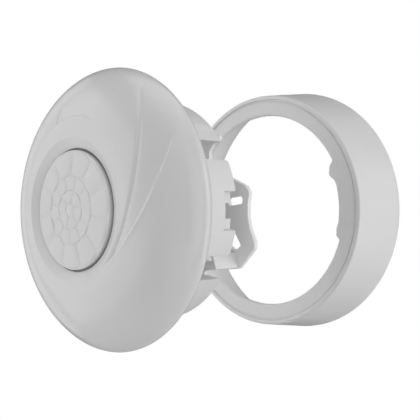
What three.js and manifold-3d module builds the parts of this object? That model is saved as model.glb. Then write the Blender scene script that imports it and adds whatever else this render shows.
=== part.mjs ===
// Motion sensor, drawn apart along its own axis: the sensor head, the mounting plate that it clips onto,
// and the spacer ring that surrounds it on a flat wall or ceiling.
// Millimetres, +Z up. The sensor looks along -Y, the wall lies at +Y, and the origin is the middle of the
// mounting plate's back face.
import * as THREE from "three";
import { mergeVertices } from "three/addons/utils/BufferGeometryUtils.js";
import Module from "manifold-3d";

const wasm = await Module();
wasm.setup();

// ---------------------------------------------------------------- driving dimensions
const GAP = 0.3; // clearance between pieces that touch
const ROUND_STEPS = 48; // facets round the large turned pieces
const SMALL_STEPS = 12; // facets round screws, dials and other small round pieces

// Front cover
const COVER_RADIUS = 55;
const RIM_Y = -42.5; // plane of the cover's widest circle
const CROWN = 20.5; // how far the domed face would stand in front of that plane at its middle
const CROWN_POWER = 2.6;
const CROWN_ROOT = 0.62;
const FLAT_RADIUS = 34; // inside this radius the face is a little flatter, down to the bevel's edge
const FLAT_DEPTH = 0.8;
const COVER_WALL = 2.4;
const ROLL_DEPTH = 4; // the cover's edge rolls round to the back over this depth
const ROLL_WIDTH = 4.5;
const COVER_LIP = 50; // inner radius of the cover's back edge

// Lens and its opening
const BEVEL_RADIUS = 27.2;
const OPENING_RADIUS = 23.2;
const OPENING_Y = -58;
const COLLAR_END_Y = -51.4;
const LENS_RADIUS = 22.4;
const LENS_EDGE_Y = -59.3;
const LENS_SWELL = 1.4; // the lens stands this much further forward at its middle
const LENS_FLANGE = 26;
const LENS_WALL = 1;

// Rear housing
const SKIRT_RADIUS = 44.4;
const SKIRT_WALL = 2;
const SKIRT_END_Y = -16.3;
const HOUSING_FRONT_Y = -40.5;
const COVER_BACK_Y = RIM_Y + ROLL_DEPTH;
const SIDE_RADIUS = 32.6; // outer radius of the recessed side walls
const SIDE_WALL = 1.6;
const SIDE_HALF_ANGLE = 36; // half the arc where the skirt is open at each side
const SIDE_INNER_ANGLE = 48.2; // the webs slope, so the side walls reach further round than the skirt is open
const TONGUE_RADIUS = 40.6;
const TONGUE_WALL = 3;
const TONGUE_HALF_ANGLE = 27;
const TONGUE_TURN = 1.35; // the tongues sit this far round from the horizontal
const TONGUE_END_Y = -12.7;
const NOTCH_TURN = -1.8; // middle of the notch, from the middle of the tongue
const NOTCH_HALF_ANGLE = 10.6;
const NOTCH_FLOOR_Y = -19;
const LUG_RADIUS = 38.6; // outer face of the two lugs in the notch
const LUG_INNER_ANGLE = 4.3;
const LUG_END_Y = -13.8;
const FLOOR_Y = -22;
const FLOOR_WALL = 2;

// Mounting plate
const PLATE_WALL = 2;
const SLOT_PITCH = 60;
const SLOT_ANGLE = 7; // the line through both slots is turned this far from the horizontal
const SLOT_LENGTH = 7.6;
const SLOT_WIDTH = 3.2;
const SLOT_ROUNDING = 1.2;
const STOP_HEIGHT = 13;

// Mounting ring
const RING_BACK_Y = 76.7;
const RING_DEPTH = 27.2;
const RING_BACK_RADIUS = 58.35;
const RING_FRONT_RADIUS = 54.6;
const RING_WALL = 2.2;
const RING_HOLE_RADIUS = 45.2;
const RING_STEP_RADIUS = 52.6;
const RING_STEP_DEPTH = 1;
const RING_FLANGE_WALL = 2.4;
const RING_REBATE_Y = 73; // the back edge is thinner from here on
const RING_EDGE_WIDTH = 0.95; // width of the back edge that lies on the wall
const RING_TAB_RADIUS = 43;

// Boards
const BOARD_WALL = 1.6;
const SENSOR_BOARD_Y = -41; // back face of the front board
const POWER_BOARD_Y = -28; // back face of the rear board
const SPACER_RADIUS = 2.6;
const SPACER_CIRCLE = 27;
const SPACER_ANGLES = [90, 210, 330];
const BOARD_GAP_TO_WALL = 0.8; // round the rear board
const SENSOR_BOARD_RADIUS = 38;
const TALL_PART = 10.3; // height of the tallest parts on the rear board
const TRIMMER_END_Y = -23.4; // back faces of the trimmers, under the dials

// Terminals and dials
const TERMINAL_PITCH = 6;
const TERMINAL_COUNT = 4;
const TERMINAL_CENTRE_X = 5.5;
const TERMINAL_CENTRE_Z = -15.25;
const TERMINAL_WIDTH = 25;
const TERMINAL_HEIGHT = 10.1;
const TERMINAL_END_Y = -12;
const DIAL_RADIUS = 3;
const DIAL_END_Y = -18.6;
const DIAL_HOLE_RADIUS = 3.5;
const DIAL_Z = 15.5;
const DIAL_XS = { time: -14, lux: 0, range: 14 };

// ---------------------------------------------------------------- materials
function plastic(color, roughness) {
  return new THREE.MeshStandardMaterial({ color, roughness, metalness: 0 });
}

function metal(color, roughness) {
  return new THREE.MeshStandardMaterial({ color, roughness, metalness: 1 });
}

const whitePlastic = plastic(0xe4e4e2, 0.45);
const lensPlastic = plastic(0xdadad8, 0.35);
const boardGreen = plastic(0x1f5a3a, 0.5);
const darkPlastic = plastic(0x2a2a2c, 0.5);
const bluePlastic = plastic(0x2b5fa8, 0.4);
const yellowPlastic = plastic(0xd8a52a, 0.4);
const greyPlastic = plastic(0x8d9092, 0.5);
const redLens = plastic(0xb02a22, 0.2);
const steel = metal(0xb8bbbe, 0.35);
const brass = metal(0xc8a252, 0.35);
const glass = plastic(0xcfd8da, 0.1);
const filterDark = plastic(0x33302e, 0.15);

// ---------------------------------------------------------------- shape helpers
const rad = THREE.MathUtils.degToRad;

// A turned piece: [radius, y] points that start and end on the axis, or close on themselves.
function turned(profile, steps = ROUND_STEPS) {
  let area = 0;
  profile.forEach(([r, y], i) => {
    const [nextR, nextY] = profile[(i + 1) % profile.length];
    area += r * nextY - nextR * y;
  });
  const ordered = area > 0 ? profile : [...profile].reverse();
  const points = ordered.map(([r, y]) => new THREE.Vector2(r, y));
  const closesOnAxis = ordered[0][0] === 0 && ordered[ordered.length - 1][0] === 0;
  if (!closesOnAxis) points.push(points[0].clone());
  return new THREE.LatheGeometry(points, steps);
}

// A plain ring or sleeve about the Y axis.
function turnedRing(inner, outer, y0, y1, steps) {
  return turned(
    [
      [inner, y0],
      [outer, y0],
      [outer, y1],
      [inner, y1],
    ],
    steps,
  );
}

// A flat outline in X and Z, thickened along Y from y0 to y1.
function slab(shape, y0, y1, arcSteps = 12) {
  const depth = y1 - y0;
  const geometry = new THREE.ExtrudeGeometry(shape, { depth, bevelEnabled: false, curveSegments: arcSteps });
  return geometry.rotateX(Math.PI / 2).translate(0, y1, 0);
}

function box(x0, x1, y0, y1, z0, z1) {
  const geometry = new THREE.BoxGeometry(x1 - x0, y1 - y0, z1 - z0);
  return geometry.translate((x0 + x1) / 2, (y0 + y1) / 2, (z0 + z1) / 2);
}

// A straight round bar along Y.
function bar(radius, y0, y1, x = 0, z = 0, steps = SMALL_STEPS) {
  const geometry = new THREE.CylinderGeometry(radius, radius, y1 - y0, steps);
  return geometry.translate(x, (y0 + y1) / 2, z);
}

// The outline between two radii and two angles, in degrees from +X towards +Z.
function arcBand(inner, outer, from, to) {
  const shape = new THREE.Shape();
  shape.absarc(0, 0, outer, rad(from), rad(to), false);
  shape.absarc(0, 0, inner, rad(to), rad(from), true);
  return shape;
}

function onCircle(radius, angle) {
  return [radius * Math.cos(rad(angle)), radius * Math.sin(rad(angle))];
}

// Points along a circle round the axis, from one angle to another in degrees.
function arcPoints(radius, from, to, steps) {
  return Array.from({ length: steps + 1 }, (_, i) => onCircle(radius, from + ((to - from) * i) / steps));
}

function circlePoints(radius, steps) {
  return arcPoints(radius, 0, 360, steps).slice(0, steps);
}

function halfTurned(points) {
  return points.map(([x, z]) => [-x, -z]);
}

function toVectors(points) {
  return points.map(([x, z]) => new THREE.Vector2(x, z));
}

// A flat shape from its outline, given counterclockwise, and the outlines of its holes.
function polygon(points, holes = []) {
  const shape = new THREE.Shape(toVectors(points));
  holes.forEach((hole) => shape.holes.push(new THREE.Path(toVectors(hole))));
  return shape;
}

function rectangle(x0, x1, z0, z1) {
  return [
    [x0, z0],
    [x1, z0],
    [x1, z1],
    [x0, z1],
  ];
}

// A rectangle with rounded corners, turned by an angle about its middle at (x, z).
function roundedSlot(length, width, rounding, angle, x, z) {
  const corners = rectangle(
    -length / 2 + rounding,
    length / 2 - rounding,
    -width / 2 + rounding,
    width / 2 - rounding,
  );
  return corners.flatMap(([cornerX, cornerZ], i) => {
    return arcPoints(rounding, 180 + 90 * i, 270 + 90 * i, 4).map(([offsetX, offsetZ]) => {
      const point = new THREE.Vector2(cornerX + offsetX, cornerZ + offsetZ);
      point.rotateAround(new THREE.Vector2(), rad(angle));
      return [x + point.x, z + point.y];
    });
  });
}

// The angle at which the line of the housing's straight webs, moved inwards by inset, meets a circle.
function webAngle(radius, inset) {
  const start = new THREE.Vector2(...onCircle(SKIRT_RADIUS, SIDE_HALF_ANGLE));
  const along = new THREE.Vector2(...onCircle(SIDE_RADIUS, SIDE_INNER_ANGLE)).sub(start).normalize();
  start.add(new THREE.Vector2(along.y, -along.x).multiplyScalar(inset));
  const half = start.dot(along);
  const reach = -half - Math.sqrt(half ** 2 - start.lengthSq() + radius ** 2);
  return THREE.MathUtils.radToDeg(start.addScaledVector(along, reach).angle());
}

// A round outline whose two sides are drawn in to a smaller radius, joined by the webs.
function waisted(mainRadius, sideRadius, inset = 0) {
  const main = webAngle(mainRadius, inset);
  const side = webAngle(sideRadius, inset);
  const half = [
    ...arcPoints(mainRadius, main, 180 - main, 14),
    ...arcPoints(sideRadius, 180 - side, 180 + side, 14),
  ];
  return [...half, ...halfTurned(half)];
}

// ---------------------------------------------------------------- joins and cuts
function toSolid(geometry) {
  const plain = geometry.clone();
  plain.deleteAttribute("normal");
  plain.deleteAttribute("uv");
  const merged = mergeVertices(plain, 1e-4);
  return new wasm.Manifold(
    new wasm.Mesh({
      numProp: 3,
      vertProperties: new Float32Array(merged.attributes.position.array),
      triVerts: new Uint32Array(merged.index.array),
    }),
  );
}

function joined(geometries) {
  return geometries.map(toSolid).reduce((whole, next) => whole.add(next));
}

function cut(solid, geometries) {
  return geometries.map(toSolid).reduce((rest, tool) => rest.subtract(tool), solid);
}

function toGeometry(solid) {
  const { vertProperties, triVerts, numProp } = solid.getMesh();
  const geometry = new THREE.BufferGeometry();
  geometry.setAttribute("position", new THREE.BufferAttribute(new Float32Array(vertProperties), numProp));
  geometry.setIndex(new THREE.BufferAttribute(new Uint32Array(triVerts), 1));
  geometry.computeVertexNormals();
  return geometry;
}

const sensor = new THREE.Group();
const head = new THREE.Group();
sensor.add(head);

function place(group, name, geometry, material) {
  const mesh = new THREE.Mesh(geometry, material);
  mesh.name = name;
  group.add(mesh);
  return mesh;
}

// ---------------------------------------------------------------- front cover
// How far a domed face of the given size stands in front of the rim plane at radius r.
function domeHeight(r, radius, height) {
  return height * (1 - (r / radius) ** CROWN_POWER) ** CROWN_ROOT;
}

function coverY(r) {
  const flattening = THREE.MathUtils.smoothstep(FLAT_RADIUS - r, 0, FLAT_RADIUS - BEVEL_RADIUS);
  return RIM_Y - domeHeight(r, COVER_RADIUS, CROWN) + FLAT_DEPTH * flattening;
}

function coverInsideY(r) {
  return RIM_Y - domeHeight(r, COVER_RADIUS - COVER_WALL, CROWN - COVER_WALL);
}

const COVER_SCREW_CIRCLE = 47;
const COVER_SCREW_ANGLES = [60, 120, 240, 300];
const BOSS_RADIUS = 2.7;
const BOSS_HOLE_RADIUS = 1.6;
const BOSS_FRONT_Y = coverInsideY(COVER_SCREW_CIRCLE + BOSS_RADIUS) - 0.6;
const COLLAR_OUTER = 28.2;
const COLLAR_INNER = 26.4;
const LENS_SEAT_Y = OPENING_Y + 1.5; // back of the lip that the lens flange rests against

function coverProfile() {
  const profile = [[OPENING_RADIUS, OPENING_Y]];
  const outsideSteps = 10;
  for (let i = 0; i <= outsideSteps; i++) {
    const t = Math.sin((i / outsideSteps) * (Math.PI / 2));
    const r = BEVEL_RADIUS + (COVER_RADIUS - BEVEL_RADIUS) * t;
    profile.push([r, coverY(r)]);
  }
  const rollSteps = 4;
  for (let i = 1; i <= rollSteps; i++) {
    const turn = (i / rollSteps) * (Math.PI / 2);
    const r = COVER_RADIUS - ROLL_WIDTH * (1 - Math.cos(turn));
    profile.push([r, RIM_Y + ROLL_DEPTH * Math.sin(turn)]);
  }
  profile.push([COVER_LIP, COVER_BACK_Y]);
  profile.push([COVER_LIP, COVER_BACK_Y - 1.2]);
  const insideRadius = COVER_RADIUS - COVER_WALL;
  profile.push([insideRadius, RIM_Y + 1]);
  const insideSteps = 6;
  for (let i = insideSteps; i >= 0; i--) {
    const t = Math.sin((i / insideSteps) * (Math.PI / 2));
    const r = COLLAR_OUTER + (insideRadius - COLLAR_OUTER) * t;
    profile.push([r, coverInsideY(r)]);
  }
  profile.push([COLLAR_OUTER, COLLAR_END_Y]);
  profile.push([COLLAR_INNER, COLLAR_END_Y]);
  profile.push([COLLAR_INNER, LENS_SEAT_Y]);
  profile.push([OPENING_RADIUS, LENS_SEAT_Y]);
  return profile;
}

function frontCover() {
  const boss = (angle) => {
    const [x, z] = onCircle(COVER_SCREW_CIRCLE, angle);
    return bar(BOSS_RADIUS, BOSS_FRONT_Y, HOUSING_FRONT_Y - GAP, x, z, 12);
  };
  const hole = (angle) => {
    const [x, z] = onCircle(COVER_SCREW_CIRCLE, angle);
    return bar(BOSS_HOLE_RADIUS, BOSS_FRONT_Y + 0.8, HOUSING_FRONT_Y, x, z, 8);
  };
  const shell = joined([turned(coverProfile()), ...COVER_SCREW_ANGLES.map(boss)]);
  return toGeometry(cut(shell, COVER_SCREW_ANGLES.map(hole)));
}
place(head, "front_cover", frontCover(), whitePlastic);

// ---------------------------------------------------------------- lens
function fresnelLens() {
  const flangeBackY = LENS_SEAT_Y + GAP + LENS_WALL;
  const faceSteps = 5;
  const face = Array.from({ length: faceSteps + 1 }, (_, i) => {
    const share = i / faceSteps;
    return [LENS_RADIUS * share, LENS_EDGE_Y - LENS_SWELL * (1 - share ** 2)];
  });
  return turned(
    [
      ...face,
      [LENS_RADIUS, LENS_SEAT_Y + GAP],
      [LENS_FLANGE, LENS_SEAT_Y + GAP],
      [LENS_FLANGE, flangeBackY],
      [LENS_RADIUS - LENS_WALL, flangeBackY],
      [LENS_RADIUS - LENS_WALL, LENS_EDGE_Y + LENS_WALL],
      [0, LENS_EDGE_Y + LENS_WALL - LENS_SWELL],
    ],
    48,
  );
}
place(head, "fresnel_lens", fresnelLens(), lensPlastic);

// A flat ring that clips into the collar behind the lens flange.
function lensRetainer() {
  const front = LENS_SEAT_Y + GAP + LENS_WALL + GAP;
  return turnedRing(LENS_RADIUS, LENS_FLANGE, front, front + 1.8, 40);
}
place(head, "lens_retainer", lensRetainer(), greyPlastic);

// ---------------------------------------------------------------- rear housing
// The tongue at one side: a thick springy arm with a notch in its end. The outer part of its wall is cut
// away across the whole notch, and the inner part only in the middle, which leaves two lugs.
function tongueParts(centre) {
  const inner = TONGUE_RADIUS - TONGUE_WALL;
  const from = centre - TONGUE_HALF_ANGLE;
  const to = centre + TONGUE_HALF_ANGLE;
  const notch = centre + NOTCH_TURN;
  const notchCut = (innerRadius, outerRadius, halfAngle, floorY) => {
    const band = arcBand(innerRadius, outerRadius, notch - halfAngle, notch + halfAngle);
    return slab(band, floorY, TONGUE_END_Y + 1, 6);
  };
  return {
    solid: slab(arcBand(inner, TONGUE_RADIUS, from, to), HOUSING_FRONT_Y + 1, TONGUE_END_Y, 10),
    cuts: [
      notchCut(LUG_RADIUS, TONGUE_RADIUS + 1, NOTCH_HALF_ANGLE, NOTCH_FLOOR_Y),
      notchCut(inner - 1, LUG_RADIUS + 0.1, LUG_INNER_ANGLE, NOTCH_FLOOR_Y),
      notchCut(inner - 1, LUG_RADIUS + 0.1, NOTCH_HALF_ANGLE, LUG_END_Y),
    ],
  };
}

function terminalOutline(clearance) {
  const halfWidth = TERMINAL_WIDTH / 2 + clearance;
  const halfHeight = TERMINAL_HEIGHT / 2 + clearance;
  return polygon(
    rectangle(
      TERMINAL_CENTRE_X - halfWidth,
      TERMINAL_CENTRE_X + halfWidth,
      TERMINAL_CENTRE_Z - halfHeight,
      TERMINAL_CENTRE_Z + halfHeight,
    ),
  );
}

function rearHousing() {
  const chamberRadius = SKIRT_RADIUS - SKIRT_WALL;
  const sideInner = SIDE_RADIUS - SIDE_WALL;
  const chamber = waisted(chamberRadius, sideInner, SKIRT_WALL);
  const walls = polygon(waisted(SKIRT_RADIUS, SIDE_RADIUS), [chamber]);
  const floorOverlap = 0.5; // the floor's edge runs this far into the walls
  const floor = polygon(
    waisted(chamberRadius + floorOverlap, sideInner + floorOverlap, SKIRT_WALL - floorOverlap),
  );
  const flange = polygon(circlePoints(COVER_LIP - GAP, ROUND_STEPS), [chamber]);
  const tongues = [TONGUE_TURN, 180 + TONGUE_TURN].map(tongueParts);
  const posts = SPACER_ANGLES.map((angle) => {
    const [x, z] = onCircle(SPACER_CIRCLE, angle);
    return bar(SPACER_RADIUS, POWER_BOARD_Y + GAP, FLOOR_Y + 0.5, x, z, 8);
  });
  const shell = joined([
    slab(walls, HOUSING_FRONT_Y + 1, SKIRT_END_Y),
    slab(flange, HOUSING_FRONT_Y, COVER_BACK_Y),
    slab(floor, FLOOR_Y, FLOOR_Y + FLOOR_WALL),
    ...tongues.map((tongue) => tongue.solid),
    ...posts,
  ]);
  const dialHoles = Object.values(DIAL_XS).map((x) => {
    return bar(DIAL_HOLE_RADIUS, FLOOR_Y - 1, FLOOR_Y + FLOOR_WALL + 1, x, DIAL_Z, 12);
  });
  const screwHoles = COVER_SCREW_ANGLES.map((angle) => {
    const [x, z] = onCircle(COVER_SCREW_CIRCLE, angle);
    return bar(BOSS_HOLE_RADIUS, HOUSING_FRONT_Y - 1, COVER_BACK_Y + 1, x, z, 8);
  });
  const terminalHole = slab(terminalOutline(GAP), FLOOR_Y - 1, FLOOR_Y + FLOOR_WALL + 1);
  const cuts = [...tongues.flatMap((tongue) => tongue.cuts), ...dialHoles, ...screwHoles, terminalHole];
  return toGeometry(cut(shell, cuts));
}
place(head, "rear_housing", rearHousing(), whitePlastic);

// ---------------------------------------------------------------- screws
// A pan head screw along Y. The head stands at headY and faces towards +Y; the shank runs towards -Y.
function panScrew(headRadius, headHeight, shankRadius, shankLength) {
  const slotDepth = headHeight * 0.5;
  const blank = turned(
    [
      [0, -shankLength],
      [shankRadius * 0.6, -shankLength],
      [shankRadius, -shankLength + shankRadius],
      [shankRadius, 0],
      [headRadius, 0],
      [headRadius, headHeight * 0.55],
      [headRadius * 0.72, headHeight],
      [0, headHeight],
    ],
    SMALL_STEPS,
  );
  const arm = headRadius * 0.6;
  const halfWidth = headRadius * 0.13;
  const cross = [
    box(-arm, arm, headHeight - slotDepth, headHeight + 1, -halfWidth, halfWidth),
    box(-halfWidth, halfWidth, headHeight - slotDepth, headHeight + 1, -arm, arm),
  ];
  return toGeometry(cut(toSolid(blank), cross));
}

function addHousingScrews() {
  COVER_SCREW_ANGLES.forEach((angle, i) => {
    const [x, z] = onCircle(COVER_SCREW_CIRCLE, angle);
    const mesh = place(head, `housing_screw_${i + 1}`, panScrew(2.4, 1.6, 1.25, 9), steel);
    mesh.position.set(x, COVER_BACK_Y + GAP, z);
  });
}
addHousingScrews();

// ---------------------------------------------------------------- sensor board
function sensorBoard() {
  const disc = polygon(circlePoints(SENSOR_BOARD_RADIUS, 36));
  const board = toSolid(slab(disc, SENSOR_BOARD_Y - BOARD_WALL, SENSOR_BOARD_Y));
  const holes = SPACER_ANGLES.map((angle) => {
    const [x, z] = onCircle(SPACER_CIRCLE, angle);
    return bar(1.5, SENSOR_BOARD_Y - BOARD_WALL - 1, SENSOR_BOARD_Y + 1, x, z, 8);
  });
  return toGeometry(cut(board, holes));
}
place(head, "sensor_board", sensorBoard(), boardGreen);

const SENSOR_FRONT_Y = SENSOR_BOARD_Y - BOARD_WALL - GAP; // where the front board's parts stand

// The detector: a round metal can with a foot rim and a square window in its face.
function pirDetector() {
  const can = turned(
    [
      [0, SENSOR_FRONT_Y - 4.2],
      [4.1, SENSOR_FRONT_Y - 4.2],
      [4.5, SENSOR_FRONT_Y - 3.8],
      [4.5, SENSOR_FRONT_Y - 0.7],
      [4.9, SENSOR_FRONT_Y - 0.7],
      [4.9, SENSOR_FRONT_Y],
      [0, SENSOR_FRONT_Y],
    ],
    28,
  );
  const window = box(-2, 2, SENSOR_FRONT_Y - 5, SENSOR_FRONT_Y - 3.3, -1.6, 1.6);
  return toGeometry(cut(toSolid(can), [window]));
}
place(head, "pir_detector", pirDetector(), steel);
place(
  head,
  "pir_filter",
  box(-1.7, 1.7, SENSOR_FRONT_Y - 4, SENSOR_FRONT_Y - 3.6, -1.3, 1.3),
  filterDark,
);

function lightSensor() {
  const x = 12;
  return toGeometry(
    joined([
      box(x - 1.6, x + 1.6, SENSOR_FRONT_Y - 1.4, SENSOR_FRONT_Y, -1.6, 1.6),
      bar(1.1, SENSOR_FRONT_Y - 2, SENSOR_FRONT_Y - 1, x, 0, 14),
    ]),
  );
}
place(head, "light_sensor", lightSensor(), glass);

// A round-nosed lamp with a foot rim.
function statusLed() {
  const lampRadius = 1.5;
  const profile = [[0, SENSOR_FRONT_Y - 5]];
  const noseSteps = 4;
  for (let i = 1; i <= noseSteps; i++) {
    const turn = (i / noseSteps) * (Math.PI / 2);
    profile.push([lampRadius * Math.sin(turn), SENSOR_FRONT_Y - 3.5 - lampRadius * Math.cos(turn)]);
  }
  profile.push([lampRadius, SENSOR_FRONT_Y - 0.8]);
  profile.push([lampRadius + 0.3, SENSOR_FRONT_Y - 0.8]);
  profile.push([lampRadius + 0.3, SENSOR_FRONT_Y]);
  profile.push([0, SENSOR_FRONT_Y]);
  return turned(profile, 16).translate(-12, 0, 0);
}
place(head, "status_led", statusLed(), redLens);
place(head, "controller_chip", box(-4, 4, SENSOR_FRONT_Y - 1.5, SENSOR_FRONT_Y, -21, -13), darkPlastic);

// ---------------------------------------------------------------- spacers and header between the boards
const POWER_FRONT_Y = POWER_BOARD_Y - BOARD_WALL - GAP; // where the rear board's parts stand

function addSpacers() {
  SPACER_ANGLES.forEach((angle, i) => {
    const [x, z] = onCircle(SPACER_CIRCLE, angle);
    const hexagon = bar(SPACER_RADIUS, SENSOR_BOARD_Y + GAP, POWER_FRONT_Y, x, z, 6);
    const bore = bar(1.35, SENSOR_BOARD_Y, SENSOR_BOARD_Y + 6, x, z, 8);
    place(head, `board_spacer_${i + 1}`, toGeometry(cut(toSolid(hexagon), [bore])), darkPlastic);
    const screw = place(head, `board_screw_${i + 1}`, panScrew(2.3, 1.4, 1, 5), steel);
    screw.rotation.x = Math.PI;
    screw.position.set(x, SENSOR_FRONT_Y, z);
  });
}
addSpacers();
place(head, "board_connector", box(-8, 8, SENSOR_BOARD_Y + GAP, POWER_FRONT_Y, -34.3, -31.8), darkPlastic);

// ---------------------------------------------------------------- power board and its parts
function powerBoard() {
  const shape = polygon(
    waisted(
      SKIRT_RADIUS - SKIRT_WALL - BOARD_GAP_TO_WALL,
      SIDE_RADIUS - SIDE_WALL - BOARD_GAP_TO_WALL,
      SKIRT_WALL + BOARD_GAP_TO_WALL,
    ),
  );
  return slab(shape, POWER_BOARD_Y - BOARD_WALL, POWER_BOARD_Y);
}
place(head, "power_board", powerBoard(), boardGreen);

// A box-shaped part that stands on the front of the rear board, rise high off it.
function blockPart(x, z, width, height, rise) {
  const [x0, x1] = [x - width / 2, x + width / 2];
  const [z0, z1] = [z - height / 2, z + height / 2];
  return box(x0, x1, POWER_FRONT_Y - rise, POWER_FRONT_Y, z0, z1);
}
place(head, "relay", blockPart(-10.5, -14, 16, 20, TALL_PART), bluePlastic);
place(head, "film_capacitor", blockPart(7, -26, 17, 8, 9.6), yellowPlastic);

function smoothingCapacitor() {
  const [x, z] = [12, 6];
  const can = [
    [0, POWER_FRONT_Y - TALL_PART],
    [4.4, POWER_FRONT_Y - TALL_PART],
    [5, POWER_FRONT_Y - TALL_PART + 0.6],
    [5, POWER_FRONT_Y - 2.2],
    [4.6, POWER_FRONT_Y - 1.8],
    [5, POWER_FRONT_Y - 1.4],
    [5, POWER_FRONT_Y],
    [0, POWER_FRONT_Y],
  ];
  return turned(can, 24).translate(x, 0, z);
}
place(head, "smoothing_capacitor", smoothingCapacitor(), darkPlastic);

// A thin disc that stands on its edge.
function varistor() {
  const radius = 4.8;
  const disc = new THREE.CylinderGeometry(radius, radius, 3.5, 24);
  return disc.rotateZ(Math.PI / 2).translate(-17, POWER_FRONT_Y - radius, 12);
}
place(head, "varistor", varistor(), bluePlastic);

// A glass tube with a metal cap at each end, as one turned form.
function fuse() {
  const halfLength = 8;
  const capLength = 4;
  const profile = [
    [0, -halfLength],
    [2.6, -halfLength],
    [2.6, -halfLength + capLength],
    [2.3, -halfLength + capLength],
    [2.3, halfLength - capLength],
    [2.6, halfLength - capLength],
    [2.6, halfLength],
    [0, halfLength],
  ];
  return turned(profile, 16).rotateZ(Math.PI / 2).translate(0, POWER_FRONT_Y - 3.2, 18);
}
place(head, "fuse", fuse(), glass);

// ---------------------------------------------------------------- trimmers and their dials
function trimmerBody(x) {
  const half = 4.6;
  return box(x - half, x + half, POWER_BOARD_Y + GAP, TRIMMER_END_Y, DIAL_Z - half, DIAL_Z + half);
}

// A small knob with a screwdriver slot that points to the setting, and a pointed notch at one end.
function dial() {
  const frontY = TRIMMER_END_Y + GAP;
  const knob = turned(
    [
      [0, frontY],
      [DIAL_RADIUS, frontY],
      [DIAL_RADIUS, DIAL_END_Y - 0.3],
      [DIAL_RADIUS - 0.3, DIAL_END_Y],
      [0, DIAL_END_Y],
    ],
    24,
  );
  const slotDepth = 1.2;
  const arrow = polygon([
    [-0.45, -2.3],
    [0.45, -2.3],
    [0.45, 1],
    [1.1, 1],
    [0, 2.4],
    [-1.1, 1],
    [-0.45, 1],
  ]);
  return cut(toSolid(knob), [slab(arrow, DIAL_END_Y - slotDepth, DIAL_END_Y + 1)]);
}

function addTrimmers() {
  const knob = toGeometry(dial());
  Object.entries(DIAL_XS).forEach(([name, x]) => {
    place(head, `${name}_trimmer`, trimmerBody(x), bluePlastic);
    place(head, `${name}_dial`, knob, whitePlastic).position.set(x, 0, DIAL_Z);
  });
}
addTrimmers();

// ---------------------------------------------------------------- terminals
const WIRE_ROW_Z = TERMINAL_CENTRE_Z - 2.4;
const SCREW_ROW_Z = TERMINAL_CENTRE_Z + 2.5;
const WIRE_HOLE_RADIUS = 1.95;
const terminalXs = Array.from({ length: TERMINAL_COUNT }, (_, i) => {
  return TERMINAL_CENTRE_X + (i - (TERMINAL_COUNT - 1) / 2) * TERMINAL_PITCH;
});

function terminalBlock() {
  const block = toSolid(slab(terminalOutline(0), POWER_BOARD_Y + GAP, TERMINAL_END_Y));
  const wells = terminalXs.flatMap((x) => [
    bar(WIRE_HOLE_RADIUS, TERMINAL_END_Y - 9, TERMINAL_END_Y + 1, x, WIRE_ROW_Z, 12),
    bar(2.1, TERMINAL_END_Y - 5, TERMINAL_END_Y + 1, x, SCREW_ROW_Z, 12),
  ]);
  return toGeometry(cut(block, wells));
}
place(head, "terminal_block", terminalBlock(), darkPlastic);

function addTerminalHardware() {
  terminalXs.forEach((x, i) => {
    const sleeveEnd = TERMINAL_END_Y - 2;
    const sleeve = turnedRing(1.2, 1.6, sleeveEnd - 6, sleeveEnd, 12);
    place(head, `terminal_sleeve_${i + 1}`, sleeve, brass).position.set(x, 0, WIRE_ROW_Z);
    const slot = box(-2, 2, TERMINAL_END_Y - 1.6, TERMINAL_END_Y, -0.3, 0.3);
    const screw = cut(toSolid(bar(1.75, TERMINAL_END_Y - 4.6, TERMINAL_END_Y - 0.8)), [slot]);
    place(head, `terminal_screw_${i + 1}`, toGeometry(screw), steel).position.set(x, 0, SCREW_ROW_Z);
  });
}
addTerminalHardware();

// ---------------------------------------------------------------- mounting plate
// Half of the outline, from the top middle round the +X side. The other half is the same, turned half a turn.
const PLATE_HALF_OUTLINE = [
  [9, 34],
  [20.5, 30.8],
  [21.4, 28.7],
  [17.2, 27],
  [15.2, 24.4],
  [14.9, 18.3],
  [28.8, 12.4],
  [35.3, 9.6],
  [37.3, 7.2],
  [36.6, 3],
  [36.5, -3],
  [37.9, -8.2],
  [40, -12.4],
  [40, -15.2],
  [31.8, -23.4],
  [23.5, -24.3],
  [13, -25.2],
  [10.5, -29.5],
];

// The window for the terminals and wires, and the small lightening hole beside it.
const PLATE_WINDOW = rectangle(-8.5, 18.7, -21.2, -9.3);
const PLATE_SMALL_HOLE = [
  [28.3, -7.4],
  [32.8, -14.2],
  [29.6, -16.3],
  [23.8, -12.6],
];

// Foot of the straight wall that stops the head's turn.
const STOP_WALL = [
  [28.5, -17.3],
  [29.6, -16.9],
  [31.7, -22.9],
  [30.6, -23.3],
];

function mountingPlate() {
  const outline = [...PLATE_HALF_OUTLINE, ...halfTurned(PLATE_HALF_OUTLINE)].reverse();
  const slots = [SLOT_ANGLE, 180 + SLOT_ANGLE].map((angle) => {
    const [x, z] = onCircle(SLOT_PITCH / 2, angle);
    return roundedSlot(SLOT_LENGTH, SLOT_WIDTH, SLOT_ROUNDING, SLOT_ANGLE, x, z);
  });
  const holes = [PLATE_WINDOW, PLATE_SMALL_HOLE].flatMap((hole) => [hole, halfTurned(hole)]);
  const stops = [STOP_WALL, halfTurned(STOP_WALL)].map((foot) => {
    return slab(polygon(foot), -PLATE_WALL - STOP_HEIGHT, -PLATE_WALL + 0.5);
  });
  return toGeometry(joined([slab(polygon(outline, [...holes, ...slots]), -PLATE_WALL, 0), ...stops]));
}
place(sensor, "mounting_plate", mountingPlate(), whitePlastic);

// ---------------------------------------------------------------- mounting ring
const RING_FRONT_Y = RING_BACK_Y - RING_DEPTH;
const RING_FLANGE_Y = RING_FRONT_Y + RING_STEP_DEPTH;

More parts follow.
